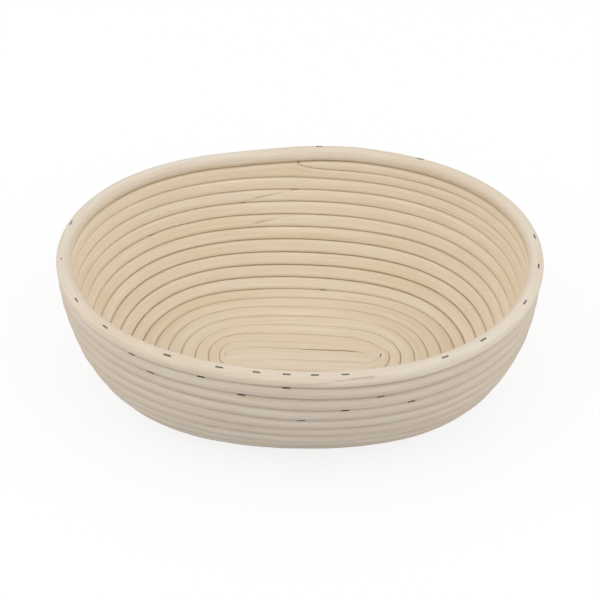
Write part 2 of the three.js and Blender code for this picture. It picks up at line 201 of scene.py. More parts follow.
class BasketSizes(bpy.types.PropertyGroup):
    """Sizes of the cane, the winding and the staples, in millimetres"""
    cane_pitch: FloatProperty(
        name="Cane pitch", description="From the middle of one course to the next",
        default=8.8, min=1)
    cane_depth: FloatProperty(
        name="Cane depth", description="From the inside face of a course to its outside face",
        default=8.5, min=1)
    groove_gap: FloatProperty(
        name="Groove gap", description="Left between neighbouring courses", default=0.03, min=0)
    core_gap: FloatProperty(
        name="Core gap", description="Widest opening on the inside beside the first strip",
        default=0.85, min=0)
    floor_flatness: FloatProperty(
        name="Floor flatness",
        description="The cane's inside half in the floor: 2 is round, more is squarer",
        default=5.5, min=1.5, max=9)
    inside_flatness: FloatProperty(
        name="Inside flatness", description="The same in the wall", default=4.6, min=1.5, max=9)
    outside_flatness: FloatProperty(
        name="Outside flatness",
        description="The cane's outside half: 2 is round, and more is squarer",
        default=2.25, min=1.5, max=6)
    rim_cane: FloatProperty(
        name="Rim cane", description="Diameter of the rim cane", default=8.9, min=1)
    rim_lift: FloatProperty(
        name="Rim tip lift", description="The rim's whittled tip stands off this far",
        default=1.2, min=0)
    slit_shift: FloatProperty(
        name="Slit shift", description="How far the core's slit lies towards the back",
        default=3.3)
    tongue_reach: FloatProperty(
        name="Tongue reach", description="How much farther the first strip's tongue reaches",
        default=5)
    fold_thinning: FloatProperty(
        name="Fold thinning", description="How far the upper strip thins at its fold", default=4.4)
    fold_reach: FloatProperty(
        name="Fold reach", description="How much farther the fold's end reaches", default=2.4)
    core_half_length: FloatProperty(
        name="Core half length", description="Middle of the first strip to its hairpin's centre",
        default=38.5, min=1)
    oval_half_length: FloatProperty(
        name="Oval half length", description="What each turn is longer than wide, halved",
        default=35.10, min=1)
    floor_run: FloatProperty(
        name="Floor run", description="Along the winding from the core to the wall",
        default=61.97, min=1)
    bend_run: FloatProperty(
        name="Bend run", description="Along the winding until the wall is at its full slope",
        default=104.20, min=1)
    floor_setback: FloatProperty(
        name="Floor setback", description="The floor lies this far behind the rim's middle",
        default=2.27)
    tip_thickness: FloatProperty(
        name="Tip thickness", description="What a whittled cane ends in", default=0.7, min=0.1)
    wander: FloatProperty(
        name="Wander", description="How far a cane strays from its ideal path",
        default=0.22, min=0)
    ring_spacing: FloatProperty(
        name="Ring spacing", description="Between the rings of the cane's mesh",
        default=2.0, min=0.5)
    bend_spacing: FloatProperty(
        name="Bend spacing", description="The same in the tight bends of the first turns",
        default=0.6, min=0.2)
    ring_sides: IntProperty(
        name="Ring sides", description="Faces round a cane", default=24, min=8, max=64)
    staple_crown: FloatProperty(
        name="Staple crown", description="Length of a staple's crown", default=5.4, min=1)
    staple_leg: FloatProperty(
        name="Staple leg", description="Length of a staple's legs", default=12.5, min=1)
    core_staple_shift: FloatProperty(
        name="Core staple shift", description="From the fold's middle towards its end",
        default=3.9)
    core_staple_leg: FloatProperty(
        name="Core staple leg", description="Length of the shorter legs in the floor",
        default=5.5, min=1)
    wire_width: FloatProperty(
        name="Wire width", description="Width of the flat staple wire", default=0.8, min=0.1)
    wire_depth: FloatProperty(
        name="Wire depth", description="Thickness of the flat staple wire", default=0.45, min=0.1)


class BasketColours(bpy.types.PropertyGroup):
    """Colours of the cane and the wire"""
    cane_colour: FloatVectorProperty(
        name="Cane", description="Peeled cane of the floor and wall", subtype="COLOR", size=3,
        default=(0.81, 0.708, 0.56), min=0, max=1)
    # Greyer from weathering, and darker as painted shade: the outside faces' colour stands in
    # partly for their shade
    weathered_and_shaded_colour: FloatVectorProperty(
        name="Weathered cane", description="The greyer outside of the floor and wall",
        subtype="COLOR", size=3, default=(0.665, 0.58, 0.485), min=0, max=1)
    rim_colour: FloatVectorProperty(
        name="Rim cane", description="The paler cane of the rim", subtype="COLOR", size=3,
        default=(0.73, 0.645, 0.535), min=0, max=1)
    fibre_colour: FloatVectorProperty(
        name="Fibres", description="Darker fibres in the cane", subtype="COLOR", size=3,
        default=(0.42, 0.27, 0.14), min=0, max=1)
    # Painted shade: a darker brown low in the grooves, where the courses shade each other
    groove_shade_colour: FloatVectorProperty(
        name="Groove", description="Cane low in the grooves", subtype="COLOR", size=3,
        default=(0.5, 0.34, 0.19), min=0, max=1)
    wire_colour: FloatVectorProperty(
        name="Wire", description="Dull steel of the staples", subtype="COLOR", size=3,
        default=(0.13, 0.115, 0.1), min=0, max=1)


def sizes():
    return bpy.context.scene.basket_sizes


def colours():
    return bpy.context.scene.basket_colours


def smooth(share):
    """A share that starts and ends gently, kept between 0 and 1."""
    share = np.clip(share, 0, 1)
    return share * share * (3 - 2 * share)


def ramp_share(value, ramp):
    """0 up to the ramp's start, 1 past its length, and even between them."""
    start, length = ramp
    return np.clip((value - start) / length, 0, 1)


def swings(direction, shares):
    """1 and the shares of each wave round the basket."""
    total = np.ones_like(direction)
    for place, share in enumerate(shares):
        wave = np.sin if place % 2 else np.cos
        total = total + share * wave((place // 2 + 1) * direction)
    return total


def profile_tables():
    """Reach and height against run along the wall, for every direction, summed up in even
    steps. The slope grows as a power of the share of the bend that is done."""
    size = sizes()
    longest_run = size.cane_pitch * (TAIL_TURN + 1) + 2 * size.rim_cane
    runs = np.linspace(0, longest_run, PROFILE_RUNS)
    middles = (runs[1:] + runs[:-1]) / 2
    direction = np.linspace(0, 2 * np.pi, PROFILE_DIRECTIONS)[:, None]
    floor_run = size.floor_run * swings(direction, FLOOR_RUN_SWINGS)
    bend_run = size.bend_run * swings(direction, BEND_RUN_SWINGS)
    bent_share = np.clip((middles - floor_run) / bend_run, 0, 1)
    slope = WALL_SLOPE * swings(direction, WALL_SLOPE_SWINGS) * bent_share ** BEND_POWER
    step = runs[1] - runs[0]
    start = np.zeros_like(direction)
    reaches = np.concatenate([start, np.cumsum(step * np.cos(slope), axis=1)], axis=1)
    heights = np.concatenate([start, np.cumsum(step * np.sin(slope), axis=1)], axis=1)
    return step, reaches, heights


def look_up(table, step, run, direction):
    """The value in a table of directions and runs, blended between its four neighbours."""
    along = np.clip(run / step, 0, table.shape[1] - 1.001)
    round_it = np.mod(direction / (2 * np.pi), 1) * (table.shape[0] - 1)
    column = along.astype(int)
    row = np.minimum(round_it.astype(int), table.shape[0] - 2)
    share, turned = along - column, round_it - row
    near = table[row, column] * (1 - share) + table[row, column + 1] * share
    far = table[row + 1, column] * (1 - share) + table[row + 1, column + 1] * share
    return near * (1 - turned) + far * turned


def winding_point(run, turn):
    """The oval spiral: across its ends it is round, along its sides it is straight or nearly so,
    and it climbs the profile with its run. The first turns fold round a straight hairpin."""
    size = sizes()
    run, turn = np.broadcast_arrays(np.asarray(run, float), np.asarray(turn, float))
    step, reaches, heights = profile_tables()
    angle = turn * 2 * np.pi
    cosine = np.cos(angle)
    settled = smooth((run / size.cane_pitch - 0.5) / SETTLED_TURN)
    top_share = np.clip(run / (size.cane_pitch * TAIL_TURN), 0, 1)
    push = size.oval_half_length * (swings(angle, OUTLINE_SWINGS) - 1) * top_share ** 2
    reach = look_up(reaches, step, run, angle) + push + np.minimum(run, 0)
    end_turn = np.where(cosine > 0, np.round(turn), np.floor(turn) + 0.5)
    lead = (end_turn - turn) * size.cane_pitch * (1 - settled)
    centre_step = np.where(cosine > 0, 0.25, -0.25) * size.cane_pitch * (1 - settled)
    setback_run = size.floor_run + size.bend_run / 2
    setback = size.floor_setback * (1 - np.clip(run / setback_run, 0, 1))
    grown = size.oval_half_length - size.core_half_length
    half_length = size.core_half_length + grown * settled
    roundness = (CORE_ROUNDNESS + (FLOOR_ROUNDNESS - CORE_ROUNDNESS) * settled
                 + RIM_ROUNDNESS_GAIN * top_share ** RIM_ROUNDNESS_POWER)
    end_share = cosine * np.hypot(1, roundness) / np.hypot(cosine, roundness)
    foot_height = size.cane_depth / 2 - size.cane_depth * FOOT_CUT_SHARE
    return np.stack([
        half_length * end_share + (reach + lead) * cosine,
        setback + centre_step + (reach + lead) * np.sin(angle),
        foot_height + look_up(heights, step, run, angle),
    ], axis=-1)


def course_line_run(line_turn):
    """The line on top of a course. The last one sags beside the tail and rises at its tip."""
    share = line_turn - (TAIL_TURN - 1)
    rise = np.interp(share, LINE_PLACES, LINE_RISES)
    return sizes().cane_pitch * (line_turn + np.where(share > 1, 0, rise))


def rim_base_run(turn):
    """The rim's underside rides up on the last turn, settles on its thinned tail, and comes down
    past the tail's tip."""
    share = np.mod(turn - TAIL_TURN, 1)
    rise = np.interp(share, RIM_RISE_PLACES, RIM_RISES)
    return sizes().cane_pitch * (TAIL_TURN + rise)


def unit(vectors):
    return vectors / np.maximum(np.linalg.norm(vectors, axis=-1, keepdims=True), 1e-9)


def across_and_inward(run, turn, along):
    """Directions across the cane up the wall, and towards the inside of the basket."""
    half_pitch = sizes().cane_pitch / 2
    across = winding_point(run + half_pitch, turn) - winding_point(run - half_pitch, turn)
    across = unit(across - along * np.sum(across * along, axis=-1, keepdims=True))
    return across, np.cross(across, along)


def wander(places, seed, reach):
    """A smooth stray within about 1: a sum of waves of several lengths, with seeded phases."""
    rng = np.random.default_rng(seed)
    stray = np.zeros_like(places)
    for wave in STRAY_WAVES:
        stray += wave ** 0.6 * np.sin(2 * np.pi * (places / (reach * wave) + rng.random()))
    return stray / STRAY_SUM


def even_turns(from_turn, to_turn, lines_of_turn):
    """Turns spaced so that the cane's rings lie an even distance apart along its path, and
    closer together in the tight bends of the first turns."""
    size = sizes()
    steps_count = int((to_turn - from_turn) * PATH_STEPS_PER_TURN) + PATH_STEPS_LEAST
    fine = np.linspace(from_turn, to_turn, steps_count)
    low, high = lines_of_turn(fine)
    path = (low + high) / 2
    steps = np.linalg.norm(np.diff(path, axis=0), axis=1)
    eased = ramp_share(fine[1:], TIGHT_BENDS)
    spacing = size.bend_spacing + (size.ring_spacing - size.bend_spacing) * eased
    places = np.concatenate([[0], np.cumsum(steps / spacing)])
    length = np.concatenate([[0], np.cumsum(steps)])
    even = np.linspace(0, places[-1], max(int(places[-1]), RINGS_LEAST))
    return np.interp(even, places, fine), np.interp(even, places, length)


def section_shares(sides, inside_flatness, outside_flatness, low_cut, high_cut):
    """Shares of the half width and half depth round each ring's section, which is between round
    and square. A cut keeps what lies between low_cut and high_cut, and the points beyond it are
    spread over its flat face, out to the face's two edges."""
    angle = ((np.arange(sides) + 0.5) * 2 * np.pi / sides)[None, :]
    low_flatness, high_flatness = inside_flatness
    inside_flatness = np.where(np.cos(angle) > 0, high_flatness[:, None], low_flatness[:, None])
    power = np.where(np.sin(angle) > 0, 2 / inside_flatness, 2 / outside_flatness)
    width = np.sign(np.cos(angle)) * np.abs(np.cos(angle)) ** power
    depth = np.sign(np.sin(angle)) * np.abs(np.sin(angle)) ** power
    for cut, side in ((high_cut, 1), (low_cut, -1)):
        turned = angle if side > 0 else np.pi - angle
        turned = (turned + np.pi) % (2 * np.pi) - np.pi
        cut = cut[:, None]
        beyond = width * side > cut * side
        for half, flatness in ((turned > 0, inside_flatness), (turned <= 0, outside_flatness)):
            on_face = beyond & half
            reach = np.max(np.where(on_face, np.abs(turned), 0), axis=1, keepdims=True)
            edge = (1 - np.abs(np.clip(cut, -1, 1)) ** flatness) ** (1 / flatness)
            flat = np.sign(turned) * edge * np.abs(turned) / np.maximum(reach, 1e-9)
            depth = np.where(on_face, flat, depth)
        width = np.where(beyond, cut, width)
    return width, depth


def tube_faces(rings, sides):
    """Quads between neighbouring rings, and one flat face at each end."""
    ring = np.arange(rings - 1)[:, None] * sides
    side = np.arange(sides)[None, :]
    next_side = (side + 1) % sides
    quads = np.stack([
        ring + side, ring + sides + side, ring + sides + next_side, ring + next_side,
    ], axis=-1).reshape(-1, 4)
    first_cap = list(range(sides))
    last_cap = list(range(rings * sides - 1, (rings - 1) * sides - 1, -1))
    return quads.tolist() + [first_cap, last_cap]


def mesh_piece(name, points, faces, material):
    """A mesh object at the origin from points in metres, smooth, riding on the basket."""
    mesh = bpy.data.meshes.new(name)
    mesh.from_pydata(points.tolist(), [], faces)
    mesh.validate()
    mesh.polygons.foreach_set("use_smooth", np.ones(len(mesh.polygons), bool))
    mesh.materials.append(material)
    piece = bpy.data.objects.new(name, mesh)
    bpy.context.scene.collection.objects.link(piece)
    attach(piece, "root")
    return piece


def frame_shift():
    """From the winding's own frame to the basket's, which is centred on its outline."""
    size = sizes()
    turn = np.linspace(0, 1, OUTLINE_POINTS + 1)[:-1]
    middle_run = rim_base_run(turn) + size.rim_cane / 2
    middles = winding_point(middle_run, turn)
    low, high = middles.min(axis=0), middles.max(axis=0)
    frame_middle = (np.array(RIM_BOX[0]) + np.array(RIM_BOX[1])) / 2 / MM
    shift = frame_middle - (low + high) / 2
    return np.array([shift[0], shift[1], 0])


def settle_core(points):
    """The first strips aren't alike. Their lines lie towards the back, the one between them most,
    the upper strip thins where it folds back at the right, and the tongue at the left and the
    fold's end reach nearly to the strip round them."""
    size = sizes()
    x, y = points[..., 0], points[..., 1]
    slit = size.floor_setback + size.cane_pitch / 4
    in_core = 1 - smooth(ramp_share(np.abs(x), CORE_FADE))
    back_shift = np.interp(y, slit + size.cane_pitch * np.array(CORE_LINES),
                           np.array(CORE_SHIFTS) * size.slit_shift)
    near_upper = np.clip(1 - np.abs(y - slit - size.cane_pitch) / size.cane_pitch, 0, 1)
    at_fold = smooth(ramp_share(x, FOLD_THINS)) * (1 - smooth(ramp_share(x, FOLD_THICKENS)))
    shifted = points.copy()
    shifted[..., 1] += back_shift * in_core - size.fold_thinning * near_upper * at_fold
    fold_end = smooth(ramp_share(x, FOLD_GROWS)) * (1 - smooth(ramp_share(x, FOLD_SHRINKS)))
    near_slit = np.clip(1 - np.abs(y - slit) / FOLD_HALF_WIDTH, 0, 1)
    shifted[..., 0] += size.fold_reach * fold_end * near_slit
    tongue = smooth(ramp_share(-x, TONGUE_GROWS)) * (1 - smooth(ramp_share(-x, TONGUE_SHRINKS)))
    near_tongue = smooth(1 - np.abs(y - TONGUE_MIDDLE) / TONGUE_HALF_WIDTH)
    shifted[..., 0] -= size.tongue_reach * tongue * near_tongue
    return shifted


def contact_line(turn, run, seed_turn):
    """A line where two courses meet, straying a little across the wall. Both neighbours share
    it, so that they still touch."""
    size = sizes()
    point = winding_point(run, turn)
    ahead = 0.0004
    bent_run = np.maximum(run, size.cane_pitch / 2)
    along = unit(winding_point(bent_run + size.cane_pitch * ahead, turn + ahead)
                 - winding_point(bent_run - size.cane_pitch * ahead, turn - ahead))
    across, inward = across_and_inward(run, turn, along)
    sets_in = ramp_share(seed_turn, LINE_STRAYS)
    stray = wander(seed_turn * TURN_LENGTH, LINE_SEED, LINE_WAVE) * size.wander * sets_in
    return point + across * stray[..., None], across, inward


def cane_mesh(name, from_turn, to_turn, cell, depth, inside_flatness, outside_flatness, seed,
              material):
    """A cane wound through its cell. Each ring runs from the cell's lower line to its upper one,
    with its section's depth along the wall's inward direction. The inside's flatness is given for
    the floor and for the wall. The slit beside the first strip opens towards the inside."""
    size = sizes()

    def lines(turn):
        place = cell(turn)
        return (winding_point(place["low_run"], place["low_turn"]),
                winding_point(place["high_run"], turn))

    turn, length = even_turns(from_turn, to_turn, lines)
    place = cell(turn)
    inside_flatness = [
        np.interp(line, (*MEETING_LINES, *BEND_TURNS), (*MEETING_FLATNESS, *inside_flatness))
        for line in (np.abs(place["section_turn"]), place["section_turn"] + 1)]
    low_line, low_across, low_inward = contact_line(
        place["low_turn"], place["low_run"], place["low_run"] / size.cane_pitch)
    high_line, high_across, high_inward = contact_line(
        turn, place["high_run"], place["high_run"] / size.cane_pitch)
    low_line = low_line + low_across * (place["low_side"] * size.groove_gap / 2)[:, None]
    high_line = high_line - high_across * (size.groove_gap / 2)
    opening = size.core_gap * np.interp(low_line[:, 0], SLIT_PLACES, SLIT_SHARES)
    opening = opening * ((turn > START_TURN) & (turn < SLIT_END_TURN))
    width_share, depth_share = section_shares(
        size.ring_sides, inside_flatness, outside_flatness, place["low_cut"], place["high_cut"])
    left = 1 - RIM_POINT_CLOSES * place["pointed"][:, None] ** 2
    width_share = RIM_POINT[0] + (width_share - RIM_POINT[0]) * left
    depth_share = RIM_POINT[1] + (depth_share - RIM_POINT[1]) * left
    high_share = ((width_share + 1) / 2)[..., None]
    sets_in = ramp_share(turn, INWARD_STRAYS)
    inward_stray = wander(length, seed, INWARD_WAVE) * size.wander * sets_in + place["lift"]
    fullness = 1 + FULLNESS_STRAY * wander(length, seed + 1, FULLNESS_WAVE)
    base = low_line[:, None] * (1 - high_share) + high_line[:, None] * high_share
    opened = opening[:, None] * np.clip(depth_share * SLIT_OPENING[0] + SLIT_OPENING[1], 0, 1)
    base = base + low_across[:, None] * (1 - high_share) * opened[..., None]
    inward = unit(low_inward[:, None] * (1 - high_share) + high_inward[:, None] * high_share)
    inside_share = np.interp(place["section_turn"], BEND_TURNS, FULLNESS_SHARES)[:, None]
    depth_share = np.where(depth_share > 0, depth_share * inside_share, depth_share)
    half_depth = (depth / 2 * fullness)[:, None] * depth_share + inward_stray[:, None]
    points = settle_core(base + inward * half_depth[..., None]) + frame_shift()
    points[..., 2] = np.maximum(points[..., 2], LEAST_HEIGHT)
    rings, sides = points.shape[:2]
    piece = mesh_piece(name, points.reshape(-1, 3) * MM, tube_faces(rings, sides), material)
    straight = np.stack([
        width_share * depth / 2,
        depth_share * depth / 2,
        np.broadcast_to(length[:, None], (rings, sides)) + seed * FIBRE_STEP,
    ], axis=-1)
    store_vectors(piece.data, "straight", straight.reshape(-1, 3) * MM)
    # How near each point lies to a groove between courses, where the finish paints shade
    groove = np.maximum(np.abs(np.minimum(width_share, 0)),
                        np.maximum(width_share, 0) * place["upper_groove"]) ** GROOVE_POWER
    store_numbers(piece.data, "groove", groove.reshape(-1))
    store_numbers(piece.data, "inside", (depth_share / 2 + 0.5).reshape(-1))
    return piece


def store_vectors(mesh, name, values):
    layer = mesh.attributes.new(name, "FLOAT_VECTOR", "POINT")
    layer.data.foreach_set("vector", values.astype(np.float32).reshape(-1))


def store_numbers(mesh, name, values):
    layer = mesh.attributes.new(name, "FLOAT", "POINT")
    layer.data.foreach_set("value", values.astype(np.float32).reshape(-1))


def tip_share(depth):
    """Where a whittled tip's cut lies, as a share of the half width."""
    return 1 - 2 * sizes().tip_thickness / depth


def cut_share(turn, joint_turn, scarf_turns, tip):
    """Where a scarf cuts the section: from the lower line to the upper one along the scarf."""
    return np.clip((turn - joint_turn) / scarf_turns * 2, -tip, tip)


def course_cell(start_joint, start_scarf, end_joint, end_scarf):
    """A course's cell between its lower and upper line, cut slantwise where it is scarfed.
    The first strip starts in a rounded tongue that follows the hairpin round it."""
    size = sizes()
    pitch = size.cane_pitch
    tip = tip_share(pitch)

    def cell(turn):
        tongue = turn < START_TURN
        low_turn = np.where(tongue, -turn, turn)
        high = course_line_run(turn + 1)
        if end_joint is None:
            high = np.where(turn > TAIL_TURN - 1, rim_base_run(turn), high)
        low_cut, high_cut = -np.ones_like(turn), np.ones_like(turn)
        if start_joint is not None:
            cut = -cut_share(turn, start_joint, start_scarf, tip)
            low_cut = np.where(turn < start_joint + start_scarf / 2, cut, low_cut)
        if end_joint is not None:
            cut = -cut_share(turn, end_joint, end_scarf, tip)
            high_cut = np.where(turn > end_joint - end_scarf / 2, cut, high_cut)
        return {
            "low_turn": low_turn, "low_run": course_line_run(low_turn), "high_run": high,
            "low_side": np.where(tongue, -1, 1), "low_cut": low_cut, "high_cut": high_cut,
            "lift": 0, "upper_groove": 1, "pointed": np.zeros_like(turn),
            "section_turn": turn,
        }

    return cell


def rim_cell(turn):
    """The rim's cell: its start is whittled from above and its end from below. The end closes to
    a point on its outer side, which stands off a little, over the start that is whole there."""
    size = sizes()
    low = rim_base_run(turn)
    tip = tip_share(size.rim_cane)
    start_cut = cut_share(turn, RIM_JOINT_TURN, RIM_SCARF_TURNS, tip)
    tip_turn = RIM_JOINT_TURN + 1 + RIM_SCARF_TURNS / 2
    whole_turn = tip_turn - 1 - RIM_POINT_TURNS
    blunt_turns = (whole_turn - RIM_BLUNT_TURNS, whole_turn)
    start_cut = np.maximum(start_cut, np.interp(turn, blunt_turns, (-1, 1)))
    end_cut = cut_share(turn, RIM_JOINT_TURN + 1, RIM_SCARF_TURNS, tip)
    pointed = np.clip((turn - tip_turn) / RIM_POINT_TURNS + 1, 0, 1)
    return {
        "low_turn": turn, "low_run": low, "high_run": low + size.rim_cane,
        "low_side": np.ones_like(turn),
        "low_cut": np.where(turn > RIM_JOINT_TURN + 1 - RIM_SCARF_TURNS / 2, end_cut, -1.0),
        "high_cut": np.where(turn < RIM_JOINT_TURN + RIM_SCARF_TURNS / 2, start_cut, 1.0),
        "lift": -smooth(pointed * RIM_LIFT_RATE) * size.rim_lift, "upper_groove": 0,
        "pointed": pointed,
        "section_turn": np.full_like(turn, TAIL_TURN),
    }


def node_tree(name):
    material = bpy.data.materials.new(name)
    material.use_nodes = True
    tree = material.node_tree
    return material, tree, tree.nodes["Principled BSDF"]


def add_node(tree, kind, **values):
    """A shader node with its settings and unlinked input values."""
    node = tree.nodes.new(kind)
    for key, value in values.items():
        if key in node.inputs:
            node.inputs[key].default_value = value
        else:
            setattr(node, key, value)
    return node


def stretched_noise(tree, source, across_scale, along_scale, detail, roughness=0.5):
    """Noise in the straightened cane, with its own scale across the cane and along it."""
    mapping = add_node(tree, "ShaderNodeMapping")
    mapping.inputs["Scale"].default_value = (across_scale, across_scale, along_scale)
    noise = add_node(tree, "ShaderNodeTexNoise", Scale=1.0, Detail=detail, Roughness=roughness)
    tree.links.new(source, mapping.inputs["Vector"])
    tree.links.new(mapping.outputs["Vector"], noise.inputs["Vector"])
    return noise.outputs["Fac"]


def remap(tree, value, low, high, to_low, to_high):
    node = add_node(tree, "ShaderNodeMapRange")
    node.inputs["From Min"].default_value = low
    node.inputs["From Max"].default_value = high
    node.inputs["To Min"].default_value = to_low
    node.inputs["To Max"].default_value = to_high
    tree.links.new(value, node.inputs["Value"])
    return node.outputs["Result"]


def tint(tree, colour, other, share, blend="MIX"):
    """Mixes a colour, or a colour socket, towards another by a share socket."""
    node = add_node(tree, "ShaderNodeMix", data_type="RGBA", blend_type=blend)
    colour_a, colour_b = node.inputs[6], node.inputs[7]
    for socket, value in ((colour_a, colour), (colour_b, other)):
        if isinstance(value, bpy.types.NodeSocket):
            tree.links.new(value, socket)
        else:
            socket.default_value = (*value, 1)
    tree.links.new(share, node.inputs[0])
    return node.outputs[2]


def peeled_cane(name, colour, outside):
    """Peeled cane: long fine fibres, slow changes of tone along its length, a few brown fibres,
    painted shade low in the grooves, and a greyer outside darkened partly as painted shade."""
    shade = colours()
    material, tree, surface = node_tree(name)
    straight = add_node(tree, "ShaderNodeAttribute", attribute_name="straight").outputs["Vector"]
    groove = add_node(tree, "ShaderNodeAttribute", attribute_name="groove").outputs["Fac"]
    inside = add_node(tree, "ShaderNodeAttribute", attribute_name="inside").outputs["Fac"]
    fibres = stretched_noise(tree, straight, 1500, 28, 4, 0.6)
    bands = stretched_noise(tree, straight, 260, 9, 2)
    tone = stretched_noise(tree, straight, 30, 5, 2)
    streaks = stretched_noise(tree, straight, 1300, 45, 2)
    # Inside faces get the cane colour and outside faces the greyer, darker one: partly weathering,
    # partly painted shade
    base = tint(tree, outside, colour, remap(tree, inside, 0.4, 0.75, 0, 1))
    base = tint(tree, base, (0.9, 0.875, 0.84), remap(tree, fibres, 0.35, 0.65, 0, 1), "MULTIPLY")
    base = tint(tree, base, (1, 1, 1), remap(tree, bands, 0.5, 0.75, 0, 0.16))
    base = tint(tree, base, (0.97, 0.93, 0.86), remap(tree, tone, 0.45, 0.65, 0, 0.7), "MULTIPLY")
    base = tint(tree, base, list(shade.fibre_colour), remap(tree, streaks, 0.7, 0.8, 0, 0.45))
    # Painted shade: darker brown low in the grooves, standing in for the shade where courses meet
    base = tint(tree, base, list(shade.groove_shade_colour), remap(tree, groove, 0.3, 1, 0, 0.08))
    tree.links.new(base, surface.inputs["Base Color"])
    tree.links.new(remap(tree, fibres, 0.3, 0.7, 0.62, 0.78), surface.inputs["Roughness"])
    surface.inputs["Specular IOR Level"].default_value = 0.35
    bump = add_node(tree, "ShaderNodeBump", Strength=0.35, Distance=0.00012)
    tree.links.new(fibres, bump.inputs["Height"])
    tree.links.new(bump.outputs["Normal"], surface.inputs["Normal"])
    return material


def staple_steel():
    """Dull staple wire with faint marks along and across it."""
    shade = colours()
    material, tree, surface = node_tree("staple_steel")
    place = add_node(tree, "ShaderNodeTexCoord").outputs["Object"]
    marks = add_node(tree, "ShaderNodeTexNoise", Scale=2500.0, Detail=2.0)
    tree.links.new(place, marks.inputs["Vector"])
    colour = tint(tree, list(shade.wire_colour), [c * 2.2 for c in shade.wire_colour],
                  remap(tree, marks.outputs["Fac"], 0.45, 0.7, 0, 1))
    tree.links.new(colour, surface.inputs["Base Color"])
    roughness = remap(tree, marks.outputs["Fac"], 0.3, 0.7, 0.35, 0.6)
    tree.links.new(roughness, surface.inputs["Roughness"])
    surface.inputs["Metallic"].default_value = 0.85
    return material


def staple_points(crown_top, along, up, aside, leg, lean):
    """A flat wire bent into a staple: across, round a tight corner and down, as rings of four
    points carried along the path. Its legs lean aside, towards the middle of the cane."""
    size = sizes()
    half = (size.staple_crown - size.wire_width) / 2
    corner = size.wire_width * WIRE_CORNER
    bends = np.linspace(0, np.pi / 2, WIRE_CORNER_POINTS)
    right = np.stack(
        [half - corner + corner * np.sin(bends), -corner + corner * np.cos(bends)], -1)
    tilt_right = np.stack([np.cos(bends), -np.sin(bends)], -1)
    ends = np.array([[half, -leg]])
    path = np.concatenate([ends * [-1, 1], right[::-1] * [-1, 1], right, ends])
    direction = np.concatenate([[[0, 1]], tilt_right[::-1] * [1, -1], tilt_right, [[0, -1]]])
    normal = np.stack([-direction[:, 1], direction[:, 0]], -1)
    corners = ((0.5, 0.5), (0.5, -0.5), (-0.5, -0.5), (-0.5, 0.5))
    rings = []
    for out_share, aside_share in corners:
        flat = path + normal * (size.wire_depth * (out_share - 0.5))
        rings.append(crown_top + flat[:, :1] * along + flat[:, 1:] * up
                     + aside * (size.wire_width * aside_share - flat[:, 1:] * lean))
    return np.stack(rings, axis=1)


def staple_piece(name, places, nodes, stands):
    """All staples of one group as one piece: each place is a crown's top, the cane's direction,
    the staple's upward direction, the side its legs lean to, their length and how much they
    lean. Each stand is how far that crown is moved up from its place."""
    points, faces = [], []
    for (crown_top, along, up, aside, leg, lean), stand in zip(places, stands, strict=True):
        rings = staple_points(crown_top + up * stand, along, up, aside, leg, lean)
        start = sum(len(group) for group in points)
        flat = rings.reshape(-1, 3)
        points.append(flat)
        faces += [[start + corner for corner in face] for face in tube_faces(len(rings), 4)]
    every = (np.concatenate(points) + frame_shift()) * MM
    piece = mesh_piece(name, every, faces, bpy.data.materials["staple_steel"])
    piece.data.polygons.foreach_set("use_smooth", np.zeros(len(piece.data.polygons), bool))
    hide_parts(*nodes)
    return piece


def direction_at(run, turn, run_rate):
    """The cane's direction at one place of the winding."""
    ahead = 0.0005
    return unit(winding_point(run + run_rate * ahead, turn + ahead)
                - winding_point(run - run_rate * ahead, turn - ahead))


def course_staple_place(turn, outset):
    """A staple on the upper line of its course, its legs following the winding down."""
    size = sizes()
    high_run = float(course_cell(None, None, None, None)(np.array([turn]))["high_run"][0])
    point = winding_point(high_run, turn)
    along = direction_at(high_run, turn, size.cane_pitch)
    _, inward = across_and_inward(high_run, turn, along)
    up = point - winding_point(high_run - size.staple_leg, turn)
    up = unit(up - along * np.dot(up, along))
    aside = np.cross(up, along)
    middle = inward * np.sign(outset) if outset else inward
    aside = aside * np.sign(np.dot(aside, middle))
    lean = abs(outset) / size.cane_pitch
    return point - inward * outset, along, up, aside, size.staple_leg, lean


def rim_staple_place(turn):
    """A rim staple goes in from slightly outside, through the middle of the rim cane."""
    size = sizes()
    run = float(rim_base_run(np.array([turn]))[0]) + size.rim_cane / 2
    point = winding_point(run, turn)
    along = direction_at(run, turn, 0)
    across, inward = across_and_inward(run, turn, along)
    up = across * math.cos(RIM_STAPLE_LEAN) - inward * math.sin(RIM_STAPLE_LEAN)
    return point + up * size.rim_cane / 2, along, up, np.cross(up, along), size.staple_leg, 0


def core_staple_place():
    """The first strip's hairpin is pinned from inside with short legs."""
    size = sizes()
    run = size.cane_pitch / 2
    point = settle_core(winding_point(run + size.core_staple_shift, 0.0))
    along = direction_at(run, 0.0, size.cane_pitch)
    _, inward = across_and_inward(run, 0.0, along)
    crown_top = point + inward * size.cane_depth / 2 * FULLNESS_SHARES[0]
    return crown_top, along, inward, np.cross(inward, along), size.core_staple_leg, 0


def numbered(name, count):
    return [f"{name}_{place + 1:02d}" for place in range(count)]


class BASKET_OT_finishes(bpy.types.Operator):
    """Make the finishes of the cane and the wire"""
    bl_idname = "basket.finishes"
    bl_label = "Finishes"

    def execute(self, context):
        shade = colours()
        peeled_cane("peeled_cane", list(shade.cane_colour), list(shade.weathered_and_shaded_colour))
        peeled_cane("peeled_rim_cane", list(shade.rim_colour), list(shade.rim_colour))
        staple_steel()
        return {"FINISHED"}


